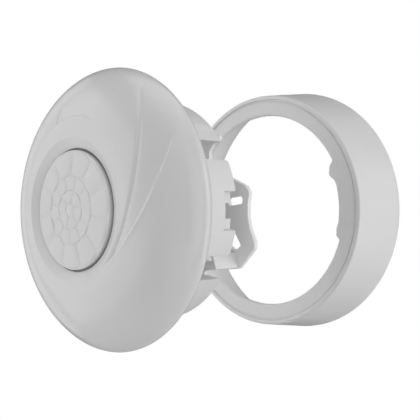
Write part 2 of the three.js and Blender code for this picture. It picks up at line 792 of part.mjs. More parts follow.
// One inward tab of the ring: a low arc with a rounded bump towards each end.
function ringTab(turn) {
  const from = turn - 16;
  const to = turn + 28;
  const steps = 22;
  const inner = [];
  for (let i = 0; i <= steps; i++) {
    const angle = to + ((from - to) * i) / steps;
    const local = angle - turn;
    const bigBump = 2.1 * Math.exp(-(((local - 22.5) / 3.6) ** 2));
    const smallBump = 0.5 * Math.exp(-(((local + 11) / 2.4) ** 2));
    const endRise = 2.2 * Math.max(0, (Math.abs(local - 6) - 19.5) / 2.5) ** 2;
    inner.push(onCircle(Math.min(RING_HOLE_RADIUS, RING_TAB_RADIUS - bigBump - smallBump + endRise), angle));
  }
  const outer = [];
  for (let i = 0; i <= 8; i++) {
    outer.push(onCircle(RING_HOLE_RADIUS + 1, from + ((to - from) * i) / 8));
  }
  return slab(polygon([...outer, ...inner]), RING_FLANGE_Y, RING_FLANGE_Y + RING_FLANGE_WALL);
}

function mountingRing() {
  const flangeBackY = RING_FLANGE_Y + RING_FLANGE_WALL;
  const edgeRound = 0.9;
  const profile = [
    [RING_HOLE_RADIUS, RING_FLANGE_Y],
    [RING_STEP_RADIUS, RING_FLANGE_Y],
    [RING_STEP_RADIUS + 0.3, RING_FRONT_Y + 0.4],
    [RING_STEP_RADIUS + 0.6, RING_FRONT_Y],
    [RING_FRONT_RADIUS - edgeRound, RING_FRONT_Y],
    [RING_FRONT_RADIUS, RING_FRONT_Y + edgeRound],
    [RING_BACK_RADIUS, RING_BACK_Y - 1],
    [RING_BACK_RADIUS, RING_BACK_Y],
    [RING_BACK_RADIUS - RING_EDGE_WIDTH, RING_BACK_Y],
    [RING_BACK_RADIUS - RING_WALL, RING_REBATE_Y],
    [RING_FRONT_RADIUS - RING_WALL, flangeBackY],
    [RING_HOLE_RADIUS, flangeBackY],
  ];
  return toGeometry(joined([turned(profile), ringTab(0), ringTab(180)]));
}
place(sensor, "mounting_ring", mountingRing(), whitePlastic);

export default sensor;
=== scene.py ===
import math

import bmesh
import bpy
import numpy as np
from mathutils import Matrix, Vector
from mathutils.geometry import tessellate_polygon


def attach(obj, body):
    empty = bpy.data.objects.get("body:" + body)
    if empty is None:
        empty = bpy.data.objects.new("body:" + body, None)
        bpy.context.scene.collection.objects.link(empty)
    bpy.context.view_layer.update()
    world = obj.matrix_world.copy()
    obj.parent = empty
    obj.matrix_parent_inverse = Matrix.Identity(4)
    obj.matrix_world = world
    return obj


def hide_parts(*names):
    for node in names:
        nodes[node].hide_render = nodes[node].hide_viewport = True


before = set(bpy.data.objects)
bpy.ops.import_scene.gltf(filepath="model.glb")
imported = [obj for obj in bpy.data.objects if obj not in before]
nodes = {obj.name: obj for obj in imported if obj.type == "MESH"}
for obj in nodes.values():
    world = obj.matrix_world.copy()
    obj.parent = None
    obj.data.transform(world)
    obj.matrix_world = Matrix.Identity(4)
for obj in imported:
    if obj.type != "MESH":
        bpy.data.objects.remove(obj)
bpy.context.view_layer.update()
scene = bpy.context.scene

MM = 0.001
TAU = 2 * math.pi
FINE = 720  # facets round the large turned pieces
SMALL = 64  # facets round screws, dials and other small round pieces


# ---------------------------------------------------------------- outlines
def on_circle(radius, degrees):
    turn = math.radians(degrees)
    return radius * math.cos(turn), radius * math.sin(turn)


def arc(radius, start, end, step=1.0):
    """Points on a circle round the axis, from one angle to another, in degrees."""
    count = max(1, round(abs(end - start) / step))
    return [on_circle(radius, start + (end - start) * i / count) for i in range(count + 1)]


def fillet(points, radius, steps=5):
    """The closed outline with its corners rounded. radius is one number, or one for each corner."""
    count = len(points)
    radii = radius if hasattr(radius, "__len__") else [radius] * count
    rounded = []
    for i in range(count):
        corner = np.array(points[i], float)
        before = np.array(points[i - 1], float) - corner
        after = np.array(points[(i + 1) % count], float) - corner
        reach_before, reach_after = np.linalg.norm(before), np.linalg.norm(after)
        before, after = before / reach_before, after / reach_after
        half = math.acos(np.clip(before @ after, -1, 1)) / 2
        if radii[i] <= 0 or half > math.radians(89):
            rounded.append(tuple(corner))
            continue
        reach = min(radii[i] / math.tan(half), 0.49 * reach_before, 0.49 * reach_after)
        middle = before + after
        centre = corner + middle / np.linalg.norm(middle) * (reach / math.cos(half))
        first = corner + before * reach - centre
        last = corner + after * reach - centre
        turn = math.pi - 2 * half
        for k in range(steps + 1):
            t = k / steps
            arm = (math.sin((1 - t) * turn) * first + math.sin(t * turn) * last) / math.sin(turn)
            rounded.append(tuple(centre + arm))
    return rounded


def dense(points, spacing, closed=True):
    """The same line with no two points further apart than spacing."""
    out = []
    last = len(points) if closed else len(points) - 1
    for i in range(last):
        a, b = np.array(points[i], float), np.array(points[(i + 1) % len(points)], float)
        count = max(1, math.ceil(np.linalg.norm(b - a) / spacing))
        out += [tuple(a + (b - a) * k / count) for k in range(count)]
    if not closed:
        out.append(tuple(points[-1]))
    return out


def half_turned(points):
    return [(-x, -z) for x, z in points]


# ---------------------------------------------------------------- meshes
def solid(name, points, faces):
    """A closed mesh from points in millimetres, with its faces turned outwards."""
    mesh = bpy.data.meshes.new(name)
    mesh.from_pydata((np.asarray(points, float) * MM).tolist(), [], faces)
    work = bmesh.new()
    work.from_mesh(mesh)
    bmesh.ops.remove_doubles(work, verts=work.verts, dist=1e-7)
    bmesh.ops.recalc_face_normals(work, faces=work.faces)
    work.to_mesh(mesh)
    work.free()
    made = bpy.data.objects.new(name, mesh)
    scene.collection.objects.link(made)
    return made


def turned(name, profile, around=FINE, shape=None, start=0.0):
    """A profile of (radius, y) turned round the Y axis. It is a closed loop, or runs from axis to axis.
    shape may move the points: it takes radius, y and angle as arrays and returns the new radius and y."""
    profile = np.array(profile, float)
    angle = start + np.arange(around) * TAU / around
    radius, y = (np.repeat(profile[:, k : k + 1], around, 1) for k in (0, 1))
    if shape:
        radius, y = shape(radius, y, np.repeat(angle[None, :], len(profile), 0))
    points = np.stack([radius * np.cos(angle), y, radius * np.sin(angle)], -1).reshape(-1, 3)
    here = np.arange(around)
    following = (here + 1) % around
    solid_core = profile[0][0] < 1e-6 and profile[-1][0] < 1e-6
    rings = len(profile) - 1 if solid_core else len(profile)
    faces = []
    for i in range(rings):
        a, b = i * around, ((i + 1) % len(profile)) * around
        faces += np.stack([a + here, a + following, b + following, b + here], -1).tolist()
    return solid(name, points, faces)


def slab(name, outlines, y0, y1, edge=0.3, front=True, back=True, steps=3, map_to=None, slices=()):
    """Flat outlines in X and Z, the first round the others, thickened along Y with rounded edges.
    slices are X positions where the faces are divided before map_to moves the points."""
    loops = []
    for i, outline in enumerate(outlines):
        loop = np.array(outline, float)
        x, z = loop[:, 0], loop[:, 1]
        area = np.sum(x * np.roll(z, -1) - np.roll(x, -1) * z)
        loops.append(loop if (area > 0) == (i == 0) else loop[::-1])
    quarter = [math.pi / 2 * k / steps for k in range(steps + 1)]
    levels = [(edge * (1 - math.sin(t)), y0 + edge * (1 - math.cos(t))) for t in quarter]
    levels = levels if front else [(0, y0)]
    ending = [(edge * (1 - math.sin(t)), y1 - edge * (1 - math.cos(t))) for t in quarter]
    levels += ending[::-1] if back else [(0, y1)]
    points, faces, start = [], [], 0
    caps = {0: [], len(levels) - 1: []}
    for loop in loops:
        ahead = np.roll(loop, -1, 0) - loop
        ahead = ahead / np.linalg.norm(ahead, axis=1)[:, None]
        left = np.stack([-ahead[:, 1], ahead[:, 0]], -1)
        before = np.roll(left, 1, 0)
        inward = (left + before) / np.maximum(1 + np.sum(left * before, 1), 0.35)[:, None]
        count = len(loop)
        here = np.arange(count)
        following = (here + 1) % count
        for k, (inset, y) in enumerate(levels):
            ring = loop + inward * inset
            points.append(np.stack([ring[:, 0], np.full(count, y), ring[:, 1]], -1))
            if k in caps:
                caps[k].append((start + k * count, ring))
            if k:
                a, b = start + (k - 1) * count, start + k * count
                faces += np.stack([a + here, a + following, b + following, b + here], -1).tolist()
        start += count * len(levels)
    for rings in caps.values():
        numbers = np.concatenate([first + np.arange(len(ring)) for first, ring in rings])
        flat = [[Vector((x, z, 0)) for x, z in ring] for _, ring in rings]
        faces += [[int(numbers[v]) for v in face] for face in tessellate_polygon(flat)]
    made = solid(name, np.concatenate(points), faces)
    if map_to:
        work = bmesh.new()
        work.from_mesh(made.data)
        for x in slices:
            everything = work.verts[:] + work.edges[:] + work.faces[:]
            bmesh.ops.bisect_plane(work, geom=everything, plane_co=(x * MM, 0, 0), plane_no=(1, 0, 0))
        for v in work.verts:
            v.co = Vector(map_to(*(c / MM for c in v.co))) * MM
        bmesh.ops.recalc_face_normals(work, faces=work.faces)
        work.to_mesh(made.data)
        work.free()
    return made


def rod(name, radius, y0, y1, x=0, z=0, around=SMALL, edge=0.0):
    turns = [TAU * i / around for i in range(around)]
    circle = [(x + radius * math.cos(turn), z + radius * math.sin(turn)) for turn in turns]
    return slab(name, [circle], y0, y1, edge, edge > 0, edge > 0)


def merged(name, parts, cutters=()):
    """One mesh from parts that overlap, less the cutters."""
    base = parts[0]
    for operation, others in (("UNION", parts[1:]), ("DIFFERENCE", cutters)):
        for other in others:
            step = base.modifiers.new(operation, "BOOLEAN")
            step.operation = operation
            step.solver = "MANIFOLD"
            step.object = other
    dg = bpy.context.evaluated_depsgraph_get()
    mesh = bpy.data.meshes.new_from_object(base.evaluated_get(dg))
    for used in [*parts, *cutters]:
        bpy.data.objects.remove(used)
    mesh.name = name
    made = bpy.data.objects.new(name, mesh)
    scene.collection.objects.link(made)
    return made


def finish_piece(obj, body, slot, material, *stands_for, angle=35, weighted=True):
    """Smooth shading with crisp edges, a material, and the piece's place in the frame."""
    mesh = obj.data
    mesh.shade_smooth()
    mesh.set_sharp_from_angle(angle=math.radians(angle))
    if weighted:
        even = obj.modifiers.new("even_normals", "WEIGHTED_NORMAL")
        even.keep_sharp = True
        even.weight = 60
    mesh.materials.clear()
    mesh.materials.append(material)
    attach(obj, body)
    if stands_for:
        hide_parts(*stands_for)
    return obj


# ---------------------------------------------------------------- materials
def new_material(name):
    material = bpy.data.materials.new(name)
    material.use_nodes = True
    tree = material.node_tree
    shader = tree.nodes["Principled BSDF"]
    place = tree.nodes.new("ShaderNodeTexCoord").outputs["Object"]
    return material, tree, shader, place


def noise(tree, place, scale, detail=3, stretch=None):
    if stretch:
        mapping = tree.nodes.new("ShaderNodeMapping")
        mapping.inputs["Scale"].default_value = stretch
        tree.links.new(place, mapping.inputs["Vector"])
        place = mapping.outputs["Vector"]
    node = tree.nodes.new("ShaderNodeTexNoise")
    node.inputs["Scale"].default_value = scale
    node.inputs["Detail"].default_value = detail
    tree.links.new(place, node.inputs["Vector"])
    return node.outputs["Fac"]


def ramp(tree, value, stops):
    node = tree.nodes.new("ShaderNodeValToRGB")
    elements = node.color_ramp.elements
    while len(elements) < len(stops):
        elements.new(0.5)
    for element, (position, colour) in zip(elements, stops):
        element.position = position
        element.color = (*colour, 1)
    tree.links.new(value, node.inputs["Fac"])
    return node.outputs["Color"]


def ranged(tree, value, low, high, at_low, at_high):
    node = tree.nodes.new("ShaderNodeMapRange")
    for key, number in (("From Min", low), ("From Max", high), ("To Min", at_low), ("To Max", at_high)):
        node.inputs[key].default_value = number
    tree.links.new(value, node.inputs["Value"])
    return node.outputs["Result"]


def mixed(tree, share, first, second):
    node = tree.nodes.new("ShaderNodeMix")
    node.data_type = "RGBA"
    tree.links.new(share, node.inputs["Factor"])
    for colour, key in ((first, "A"), (second, "B")):
        socket = [s for s in node.inputs if s.name == key and s.type == "RGBA"][0]
        if isinstance(colour, tuple):
            socket.default_value = (*colour, 1)
        else:
            tree.links.new(colour, socket)
    return [s for s in node.outputs if s.type == "RGBA"][0]


def bumped(tree, shader, height, strength, distance, under=None):
    node = tree.nodes.new("ShaderNodeBump")
    node.inputs["Strength"].default_value = strength
    node.inputs["Distance"].default_value = distance
    tree.links.new(height, node.inputs["Height"])
    if under:
        tree.links.new(under, node.inputs["Normal"])
    tree.links.new(node.outputs["Normal"], shader.inputs["Normal"])
    return node.outputs["Normal"]


def edge_share(tree, low, high):
    """How far a point stands out on an edge, from 0 to 1."""
    geometry = tree.nodes.new("ShaderNodeNewGeometry")
    return ranged(tree, geometry.outputs["Pointiness"], low, high, 0, 1)


def multiplied(tree, first, second):
    node = tree.nodes.new("ShaderNodeMix")
    node.data_type = "RGBA"
    node.blend_type = "MULTIPLY"
    node.inputs["Factor"].default_value = 1
    for colour, key in ((first, "A"), (second, "B")):
        socket = [s for s in node.inputs if s.name == key and s.type == "RGBA"][0]
        tree.links.new(colour, socket)
    return [s for s in node.outputs if s.type == "RGBA"][0]


def painted_crevice_shade(tree, colour, depth=0.008):
    """The colour with painted shade: darker where an ambient occlusion node finds neighbouring surfaces
    closing in on it.
    """
    hollow = tree.nodes.new("ShaderNodeAmbientOcclusion")
    hollow.samples = 6
    hollow.inputs["Distance"].default_value = depth
    open_share = ranged(tree, hollow.outputs["AO"], 0.1, 0.6, 0, 1)
    shade = ramp(tree, open_share, [(0.0, (0.66, 0.66, 0.66)), (1.0, (1.0, 1.0, 1.0))])
    return multiplied(tree, colour, shade)


def moulded(name, colour, roughness=0.42, grain=0.05, variation=0.03, subsurface=0.0, patchy=0.06):
    """Moulded plastic: faint flow variation, a fine spark-eroded grain, paler rubbed edges, and painted shade
    darkening its crevices.
    """
    material, tree, shader, place = new_material(name)
    low = tuple(c * (1 - variation) for c in colour)
    high = tuple(min(1, c * (1 + variation)) for c in colour)
    flow = noise(tree, place, 45, 4)
    body = ramp(tree, flow, [(0.3, low), (0.5, colour), (0.7, high)])
    rubbed = tuple(min(1, c * 1.05 + 0.01) for c in colour)
    worn = mixed(tree, edge_share(tree, 0.52, 0.6), body, rubbed)
    # painted shade: the base colour is darkened in crevices and hollows by ambient occlusion
    tree.links.new(painted_crevice_shade(tree, worn), shader.inputs["Base Color"])
    patches = noise(tree, place, 160, 3)
    sheen = ranged(tree, patches, 0.3, 0.7, roughness - patchy, roughness + patchy)
    tree.links.new(sheen, shader.inputs["Roughness"])
    fine = noise(tree, place, 2600, 2)
    soft = bumped(tree, shader, noise(tree, place, 320, 2), grain * 0.6, 0.0003)
    bumped(tree, shader, fine, grain, 0.0001, soft)
    if subsurface:
        shader.inputs["Subsurface Weight"].default_value = subsurface
        shader.inputs["Subsurface Radius"].default_value = (0.0012, 0.0011, 0.001)
    return material


def metal(name, colour, roughness=0.3, stretch=(1, 12, 1)):
    """Plated metal with fine drawn lines and a slight tarnish."""
    material, tree, shader, place = new_material(name)
    lines = noise(tree, place, 900, 3, stretch)
    dull = tuple(c * 0.78 for c in colour)
    body = ramp(tree, noise(tree, place, 260, 4), [(0.35, dull), (0.6, colour)])
    bright = tuple(min(1, c * 1.12) for c in colour)
    tree.links.new(mixed(tree, edge_share(tree, 0.52, 0.6), body, bright), shader.inputs["Base Color"])
    sheen = ranged(tree, lines, 0.3, 0.7, roughness - 0.08, roughness + 0.1)
    tree.links.new(sheen, shader.inputs["Roughness"])
    bumped(tree, shader, lines, 0.12, 0.00005)
    shader.inputs["Metallic"].default_value = 1
    return material


WHITE = (0.80, 0.80, 0.80)
white_plastic = moulded("white_plastic", WHITE, 0.24, 0.03, 0.012, patchy=0.02)
housing_plastic = moulded("housing_plastic", WHITE, 0.42, 0.08, 0.015)
# painted light: the plate's plastic is a paler copy of the white plastic, brightened to make up for light the
# plate lacks
brightened_plate_plastic = moulded("brightened_plate_plastic", (0.92, 0.92, 0.92), 0.42, 0.08, 0.015)
ring_plastic = moulded("ring_plastic", WHITE, 0.36, 0.05, 0.012, patchy=0.03)
lens_plastic = moulded("lens_plastic", (0.80, 0.80, 0.80), 0.36, 0.03, 0.012, 0.12)
grey_plastic = moulded("grey_plastic", (0.42, 0.43, 0.44), 0.5, 0.1, 0.04)
black_plastic = moulded("black_plastic", (0.03, 0.03, 0.035), 0.45, 0.12, 0.15)
blue_plastic = moulded("blue_plastic", (0.03, 0.12, 0.38), 0.4, 0.08, 0.08)
yellow_plastic = moulded("yellow_plastic", (0.66, 0.38, 0.03), 0.38, 0.06, 0.06)
dial_plastic = moulded("dial_plastic", (0.70, 0.70, 0.68), 0.42, 0.08, 0.03)
steel = metal("steel", (0.55, 0.56, 0.57), 0.32)
nickel = metal("nickel", (0.62, 0.62, 0.60), 0.28)
brass = metal("brass", (0.70, 0.52, 0.22), 0.3)


def clear_material(name, colour, roughness, transmission):
    material, tree, shader, place = new_material(name)
    patches = noise(tree, place, 400, 3)
    low = tuple(c * 0.93 for c in colour)
    tree.links.new(ramp(tree, patches, [(0.35, low), (0.65, colour)]), shader.inputs["Base Color"])
    tree.links.new(ranged(tree, patches, 0.3, 0.7, roughness, roughness + 0.08), shader.inputs["Roughness"])
    bumped(tree, shader, noise(tree, place, 900, 2), 0.03, 0.0001)
    shader.inputs["Transmission Weight"].default_value = transmission
    return material


clear_plastic = clear_material("clear_plastic", (0.80, 0.84, 0.85), 0.06, 0.85)
red_plastic = clear_material("red_plastic", (0.55, 0.03, 0.02), 0.12, 0.5)
filter_window = clear_material("filter_window", (0.04, 0.035, 0.03), 0.08, 0.0)


def board_material():
    """Green solder mask over copper tracks, with pale printed outlines left out."""
    material, tree, shader, place = new_material("board")
    cells = tree.nodes.new("ShaderNodeTexVoronoi")
    cells.distance = "MANHATTAN"
    cells.feature = "DISTANCE_TO_EDGE"
    cells.inputs["Scale"].default_value = 260
    tree.links.new(place, cells.inputs["Vector"])
    track = ranged(tree, cells.outputs["Distance"], 0.02, 0.06, 1, 0)
    mask = ramp(tree, noise(tree, place, 120, 4), [(0.3, (0.015, 0.11, 0.045)), (0.7, (0.022, 0.15, 0.065))])
    tree.links.new(mixed(tree, track, mask, (0.05, 0.22, 0.1)), shader.inputs["Base Color"])
    tree.links.new(ranged(tree, track, 0, 1, 0.42, 0.3), shader.inputs["Roughness"])
    bumped(tree, shader, track, 0.25, 0.0001)
    return material


board = board_material()

# ---------------------------------------------------------------- front cover
COVER_RADIUS = 55
RIM_Y = -42.5
CROWN = 20.5
CROWN_POWER = 2.6
CROWN_ROOT = 0.62
FLAT_RADIUS = 34
FLAT_DEPTH = 0.8
COVER_WALL = 2.4
ROLL_DEPTH = 4
ROLL_WIDTH = 4.5
COVER_LIP = 50
BEVEL_RADIUS = 27.2
OPENING_RADIUS = 23.2
OPENING_Y = -58
LENS_SEAT_Y = -56.5
COLLAR_INNER = 26.4
COLLAR_OUTER = 28.2
COLLAR_END_Y = -51.4
COVER_BACK_Y = RIM_Y + ROLL_DEPTH
SCREW_CIRCLE = 47
SCREW_ANGLES = [60, 120, 240, 300]
BOSS_RADIUS = 2.7
HOUSING_FRONT_Y = -40.5
LABEL_LEFT = -12
LABEL_RIGHT = 15
LABEL_FOOT = 35
LABEL_DEPTH = 0.45
LABEL_WALL = 0.5  # width of the recess's sloping walls
LABEL_FADE_RIGHT = 9
LABEL_FADE_UP = 8
LABEL_BOW = 0.02  # the lower edge sags towards both ends
BEVEL_END_RADIUS = 28.6
FACE_STEPS = 78
ROLL_STEPS = 8
INSIDE_STEPS = 8


def dome_y(r, radius=COVER_RADIUS, height=CROWN):
    share = np.clip(np.asarray(r, float) / radius, 0, 1)
    return RIM_Y - height * (1 - share**CROWN_POWER) ** CROWN_ROOT


def smooth(value):
    t = np.clip(value, 0, 1)
    return t * t * (3 - 2 * t)


def cover_y(r):
    """The cover's outer face: the dome, a little flatter round the bevel."""
    share = (FLAT_RADIUS - np.asarray(r, float)) / (FLAT_RADIUS - BEVEL_RADIUS)
    return dome_y(r) + FLAT_DEPTH * smooth(share)


def from_arc(x, z, centre, radius):
    """Distance outside a circle in the face plane."""
    return np.hypot(x - centre[0], z - centre[1]) - radius


def swirl_depth(x, z):
    """How deep the swept arm of the cover's face is sunk, in millimetres."""
    r = np.hypot(x, z)
    inner = from_arc(x, z, (-19.3, 16.0), 53.2)
    outer = from_arc(x, z, (-12.6, 27.0), 57.7)
    floor = 0.3 + 0.055 * np.clip(inner, 0, 11)
    arm = smooth(inner / 1.0) * smooth(-outer / 0.9) * floor
    crease = 0.34 * np.exp(-(((inner - 0.7) / 0.55) ** 2)) * smooth(-outer / 1.5)
    lip = 0.2 * np.exp(-(((outer - 0.2) / 0.6) ** 2)) * smooth(inner / 1.5)
    return (arm + crease - lip) * (x > 0) * smooth((54.2 - r) / 7) * smooth((r - 27.6) / 1.2)


def label_depth(x, z):
    """A shallow flat-floored recess for a label, deepest along its lower and left edges."""
    across = smooth((x - LABEL_LEFT) / LABEL_WALL) * smooth((LABEL_RIGHT - x) / LABEL_FADE_RIGHT)
    upward = smooth((z - LABEL_FOOT + LABEL_BOW * x * x) / LABEL_WALL)
    return LABEL_DEPTH * (across * upward) * smooth((LABEL_FOOT + LABEL_FADE_UP - z) / LABEL_FADE_UP)


def cover_profile():
    bevel = [(OPENING_RADIUS, OPENING_Y)]
    bevel += [(r, float(cover_y(r))) for r in (BEVEL_RADIUS, BEVEL_END_RADIUS)]
    soft = fillet([(20, -53), *bevel, (BEVEL_END_RADIUS, -50)], [0, 0.2, 0.5, 0, 0], 8)[1:-1]
    profile = [(OPENING_RADIUS, LENS_SEAT_Y)] + dense(soft, 0.5, False)
    first = profile[-1][0]
    for i in range(1, FACE_STEPS + 1):
        t = math.sin((i / FACE_STEPS) * (math.pi / 2))
        r = first + (COVER_RADIUS - first) * t
        profile.append((r, float(cover_y(r))))
    for i in range(1, ROLL_STEPS + 1):
        turn = (i / ROLL_STEPS) * (math.pi / 2)
        r = COVER_RADIUS - ROLL_WIDTH * (1 - math.cos(turn))
        profile.append((r, RIM_Y + ROLL_DEPTH * math.sin(turn)))
    inside_radius = COVER_RADIUS - COVER_WALL
    profile += [(COVER_LIP, COVER_BACK_Y), (COVER_LIP, COVER_BACK_Y - 1.2), (inside_radius, RIM_Y + 1)]
    for i in range(INSIDE_STEPS, -1, -1):
        t = math.sin((i / INSIDE_STEPS) * (math.pi / 2))
        r = COLLAR_OUTER + (inside_radius - COLLAR_OUTER) * t
        profile.append((r, float(dome_y(r, inside_radius, CROWN - COVER_WALL))))
    profile += [(COLLAR_OUTER, COLLAR_END_Y), (COLLAR_INNER, COLLAR_END_Y), (COLLAR_INNER, LENS_SEAT_Y)]
    return profile


def cover_shape(radius, y, angle):
    x, z = radius * np.cos(angle), radius * np.sin(angle)
    outside = (y < cover_y(radius) + 0.3) & (radius > OPENING_RADIUS + 0.5) & (y < RIM_Y)
    return radius, y + outside * (swirl_depth(x, z) + label_depth(x, z))


def front_cover():
    shell = turned("cover_shell", cover_profile(), FINE, cover_shape)
    inside_radius = COVER_RADIUS - COVER_WALL
    boss_front = float(dome_y(SCREW_CIRCLE + BOSS_RADIUS, inside_radius, CROWN - COVER_WALL)) - 0.6
    bosses, holes = [], []
    for angle in SCREW_ANGLES:
        x, z = on_circle(SCREW_CIRCLE, angle)
        bosses.append(rod("boss", BOSS_RADIUS, boss_front, HOUSING_FRONT_Y - 0.3, x, z))
        holes.append(rod("hole", 1.6, boss_front + 0.8, HOUSING_FRONT_Y, x, z))
    return merged("cover", [shell, *bosses], holes)


finish_piece(front_cover(), "head", "white_plastic", white_plastic, "front_cover", weighted=False)

# ---------------------------------------------------------------- lens
LENS_RADIUS = 22.4
LENS_FLANGE = 26
LENS_WALL = 1
LENS_EDGE_Y = -59.3
LENS_SWELL = 1.0
PETALS = 11
PETAL_START = math.radians(89)
HUB_RADIUS = 2.6
LENS_STEPS = 792  # a whole number of steps to each cell of every ring
# Rings of lens cells: inner and outer radius, cells, turn as a share of one cell, height, half the border
LENS_RINGS = [
    (12.6, LENS_RADIUS - 0.4, PETALS, 0.0, 0.5, 0.42),
    (7.2, 12.6, PETALS, 0.5, 0.34, 0.15),
    (HUB_RADIUS, 7.2, 6, 0.25, 0.3, 0.15),
]


def cell_relief(share, along, width, height, border):
    """Height of a lens cell: a pillow with rounded corners, and a low ridge along each side of the cell.
    share runs across the cell and along runs outwards, both from 0 to 1. Lengths are in millimetres."""
    from_side = np.minimum(share, 1 - share) * width
    across = 1 - np.clip((from_side - border) / (width / 2 - border), 0, 1)
    lengthwise = np.abs(2 * along - 1)
    pillow = np.clip(1 - across**2.2 - lengthwise**8, 0, 1) ** 0.55
    ridge = np.clip(1 - (from_side / border) ** 2, 0, 1) * np.clip(1 - lengthwise**8, 0, 1)
    return height * pillow + 0.3 * border * ridge


def lens_relief(radius, angle):
    height = np.zeros_like(radius)
    for inner, outer, count, turn, swell, border in LENS_RINGS:
        pitch = TAU / count
        share = np.mod(angle - PETAL_START + turn * pitch + 1e-9, pitch) / pitch
        relief = cell_relief(share, (radius - inner) / (outer - inner), pitch * radius, swell, border)
        height = np.where((radius >= inner) & (radius < outer), relief, height)
    hub = 0.3 * np.clip(1 - (radius / HUB_RADIUS) ** 2, 0, 1) ** 0.5
    return np.where(radius < HUB_RADIUS, hub, height)


def lens_shape(radius, y, angle):
    front = y < LENS_EDGE_Y + 0.02
    return radius, y - front * lens_relief(radius, angle)


def lens_face_radii():
    """Radii of the face's rings of points, closer together where the cells meet."""
    radii = []
    bounds = [0, HUB_RADIUS, 7.2, 12.6, LENS_RADIUS - 0.4]
    for inner, outer in zip(bounds, bounds[1:]):
        steps = max(10, round((outer - inner) * 4.2))
        radii += [inner + (outer - inner) * (1 - math.cos(math.pi * i / steps)) / 2 for i in range(steps)]
    return radii + [bounds[-1]]


def lens():
    face = [(r, LENS_EDGE_Y - LENS_SWELL * (1 - (r / LENS_RADIUS) ** 2)) for r in lens_face_radii()]
    edge_y = face[-1][1]
    profile = face + [(LENS_RADIUS - 0.12, edge_y + 0.1), (LENS_RADIUS, edge_y + 0.4)]
    seat = LENS_SEAT_Y + 0.3
    profile += [(LENS_RADIUS, seat), (LENS_FLANGE, seat), (LENS_FLANGE, seat + LENS_WALL)]
    inner = LENS_RADIUS - LENS_WALL
    profile += [(inner, seat + LENS_WALL), (inner, edge_y + LENS_WALL + 0.2)]
    profile += [(LENS_RADIUS * 0.5, edge_y + LENS_WALL), (0, edge_y + LENS_WALL)]
    return turned("lens", profile, LENS_STEPS, lens_shape, PETAL_START)


finish_piece(lens(), "head", "lens_plastic", lens_plastic, "fresnel_lens", weighted=False)

# ---------------------------------------------------------------- rear housing
SKIRT_RADIUS = 44.4
SKIRT_WALL = 2
SKIRT_END_Y = -16.3
SIDE_RADIUS = 32.6
SIDE_WALL = 1.6
SIDE_HALF_ANGLE = 36
SIDE_INNER_ANGLE = 48.2  # the webs slope, so the side walls reach further round than the skirt is open
TONGUE_RADIUS = 40.6
TONGUE_WALL = 3
TONGUE_HALF_ANGLE = 27
TONGUE_TURN = 1.35
NOTCH_TURN = -1.8
TONGUE_END_Y = -12.7
NOTCH_HALF_ANGLE = 10.6
NOTCH_FLOOR_Y = -19
LUG_RADIUS = 38.6
LUG_INNER_ANGLE = 4.3
LUG_END_Y = -13.8
FLOOR_Y = -22
FLOOR_WALL = 2
DIAL_XS = {"time": -14, "lux": 0, "range": 14}
DIAL_Z = 15.5
TERMINAL_BOX = (-7, 18, -20.3, -10.2)


def waisted(main_radius, side_radius, inset=0.0):
    """A round outline whose two sides are drawn in to a smaller radius, joined by straight webs.
    inset moves the webs inwards, which leaves their wall."""
    outer_corner = np.array(on_circle(SKIRT_RADIUS, SIDE_HALF_ANGLE))
    along = np.array(on_circle(SIDE_RADIUS, SIDE_INNER_ANGLE)) - outer_corner
    along = along / np.linalg.norm(along)
    start = outer_corner + np.array([-along[1], along[0]]) * -inset

    def web_angle(radius):
        half_b = start @ along
        reach = -half_b - math.sqrt(half_b**2 - start @ start + radius**2)
        x, z = start + along * reach
        return math.degrees(math.atan2(z, x))

    main, side = web_angle(main_radius), web_angle(side_radius)
    half = arc(main_radius, main, 180 - main) + arc(side_radius, 180 - side, 180 + side)
    return dense(half + half_turned(half), 1.2)


def rectangle(x0, x1, z0, z1):
    return [(x0, z0), (x1, z0), (x1, z1), (x0, z1)]


def tongue(centre):
    """A springy arm at one side, with a notch in its end and a lug at each side of the notch."""
    def bent(u, t, v):
        turn = math.radians(centre + u)
        return t * math.cos(turn), v, t * math.sin(turn)

    def layer(name, inner, outer, half_notch, lug_y, edge_front):
        wide, front, end = TONGUE_HALF_ANGLE, HOUSING_FRONT_Y + 1, TONGUE_END_Y
        path = [(-wide, front), (wide, front), (wide - 0.2, end)]
        radii = [0, 0, 0.9]
        path += [(NOTCH_TURN + NOTCH_HALF_ANGLE, end)]
        radii += [0.25]
        if lug_y:
            path += [(NOTCH_TURN + NOTCH_HALF_ANGLE, lug_y), (NOTCH_TURN + half_notch, lug_y)]
            radii += [0.1, 0.3]
        path += [(NOTCH_TURN + half_notch, NOTCH_FLOOR_Y), (NOTCH_TURN - half_notch, NOTCH_FLOOR_Y)]
        radii += [0.3, 0.3]
        if lug_y:
            path += [(NOTCH_TURN - half_notch, lug_y), (NOTCH_TURN - NOTCH_HALF_ANGLE, lug_y)]
            radii += [0.3, 0.1]
        path += [(NOTCH_TURN - NOTCH_HALF_ANGLE, end), (-wide + 0.2, end)]
        radii += [0.25, 0.9]
        degree = math.radians(1) * TONGUE_RADIUS
        scaled = fillet([(u * degree, v) for u, v in path], radii)
        slices = [degree * k for k in np.arange(-wide + 1, wide, 1.0)]
        return slab(
            name,
            [scaled],
            inner,
            outer,
            0.25,
            edge_front,
            True,
            map_to=lambda x, y, z: bent(x / degree, y, z),
            slices=slices,
        )

    inner = TONGUE_RADIUS - TONGUE_WALL
    inner_layer = layer("tongue_inner", inner, LUG_RADIUS + 0.02, LUG_INNER_ANGLE, LUG_END_Y, True)
    outer_layer = layer("tongue_outer", LUG_RADIUS, TONGUE_RADIUS, NOTCH_HALF_ANGLE, None, False)
    return [inner_layer, outer_layer]


